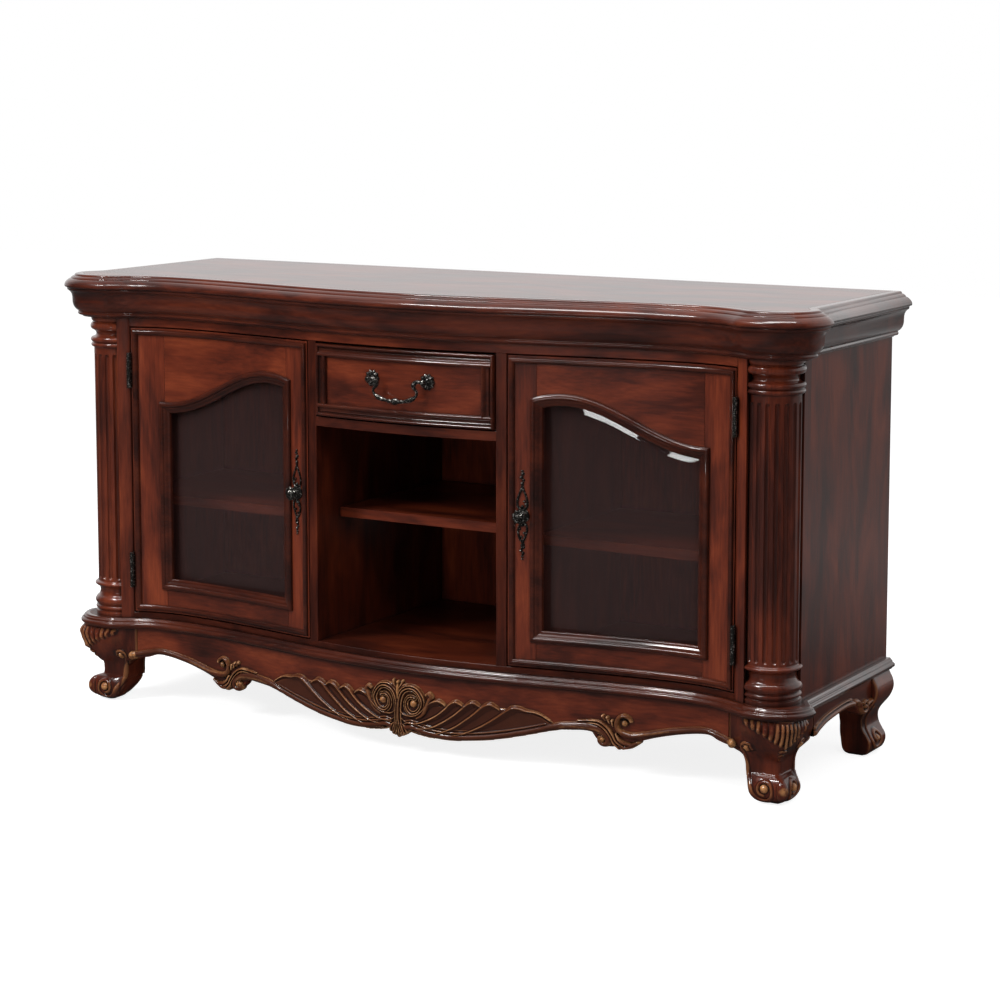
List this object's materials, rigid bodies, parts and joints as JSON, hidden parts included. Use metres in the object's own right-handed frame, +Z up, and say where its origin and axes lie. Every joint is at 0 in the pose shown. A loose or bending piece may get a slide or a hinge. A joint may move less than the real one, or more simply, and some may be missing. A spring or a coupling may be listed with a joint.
{
  "type": "tv stand",
  "caption": "Serpentine-front TV stand with arched glass doors, a drawer with a bail pull over an open shelved bay, fluted corner columns, carved apron and cabriole legs.",
  "frame": {"origin": "on the floor, under the middle of the overall box", "axes": "+Z up, the front faces -Y, +X to the right of someone looking at the front"},
  "size_m": [1.626, 0.52, 0.851],
  "materials": {
    "cherry_wood": "high gloss lacquer over a dark red-brown cherry stain",
    "moulding_wood": "high gloss lacquer with a dark glaze in the recesses",
    "column_wood": "high gloss lacquer with a dark glaze in the flutes",
    "top_veneer": "high gloss lacquer over straight-grained veneer",
    "inner_wood": "satin lacquer over a dark stain",
    "carved_wood": "gloss lacquer with rubbed bronze-gold highlights",
    "antique_hardware": "antiqued dark pewter plate",
    "glass": "clear glass with a bevelled edge"
  },
  "bodies": {
    "carcass": {"top_panel": "top_veneer", "top_edge_moulding": "moulding_wood", "crown_moulding": "moulding_wood", "left_side_panel": "cherry_wood", "right_side_panel": "cherry_wood", "left_divider": "inner_wood", "right_divider": "inner_wood", "bottom_panel": "inner_wood", "drawer_deck": "inner_wood", "top_rail": "cherry_wood", "left_stile": "cherry_wood", "right_stile": "cherry_wood", "left_back_panel": "inner_wood", "centre_back_panel": "inner_wood", "right_back_panel": "inner_wood", "corner_posts": "cherry_wood", "left_column": "column_wood", "right_column": "column_wood", "plinth_moulding": "moulding_wood", "front_apron": "cherry_wood", "left_apron": "cherry_wood", "right_apron": "cherry_wood", "rear_rail": "inner_wood", "apron_carving": "carved_wood", "front_left_leg": "cherry_wood", "front_right_leg": "cherry_wood", "rear_left_leg": "cherry_wood", "rear_right_leg": "cherry_wood", "left_shelf": "inner_wood", "centre_shelf": "inner_wood", "right_shelf": "inner_wood", "shelf_pins": "antique_hardware", "drawer_guide": "inner_wood", "door_catches": "antique_hardware", "hinge_frame_leaves": "antique_hardware"},
    "left_door": {"left_door_hinge_stile": "cherry_wood", "left_door_lock_stile": "cherry_wood", "left_door_top_rail": "cherry_wood", "left_door_bottom_rail": "cherry_wood", "left_door_bead": "moulding_wood", "left_door_moulding": "moulding_wood", "left_door_glass": "glass", "left_door_hinge_leaves": "antique_hardware", "left_door_pull": "antique_hardware"},
    "right_door": {"right_door_hinge_stile": "cherry_wood", "right_door_lock_stile": "cherry_wood", "right_door_top_rail": "cherry_wood", "right_door_bottom_rail": "cherry_wood", "right_door_bead": "moulding_wood", "right_door_moulding": "moulding_wood", "right_door_glass": "glass", "right_door_hinge_leaves": "antique_hardware", "right_door_pull": "antique_hardware"},
    "drawer": {"drawer_front": "cherry_wood", "drawer_moulding": "moulding_wood", "drawer_sides": "inner_wood", "drawer_back": "inner_wood", "drawer_bottom": "inner_wood", "bail_posts": "antique_hardware"},
    "bail": {"bail_pull": "antique_hardware"}
  },
  "joints": [
    {"name": "left_door_hinge", "type": "hinge", "parent": "carcass", "child": "left_door", "pos_m": [-0.65175, -0.18457, 0.4675], "axis": [0, 0, -1], "range_deg": [0, 110]},
    {"name": "right_door_hinge", "type": "hinge", "parent": "carcass", "child": "right_door", "pos_m": [0.65175, -0.18457, 0.4675], "axis": [0, 0, 1], "range_deg": [0, 110]},
    {"name": "drawer_slide", "type": "slide", "parent": "carcass", "child": "drawer", "axis": [0, -1, 0], "range_m": [0, 0.3]},
    {"name": "bail_hinge", "type": "hinge", "parent": "drawer", "child": "bail", "pos_m": [0, -0.23789, 0.6915], "axis": [-1, 0, 0], "range_deg": [0, 85]}
  ]
}
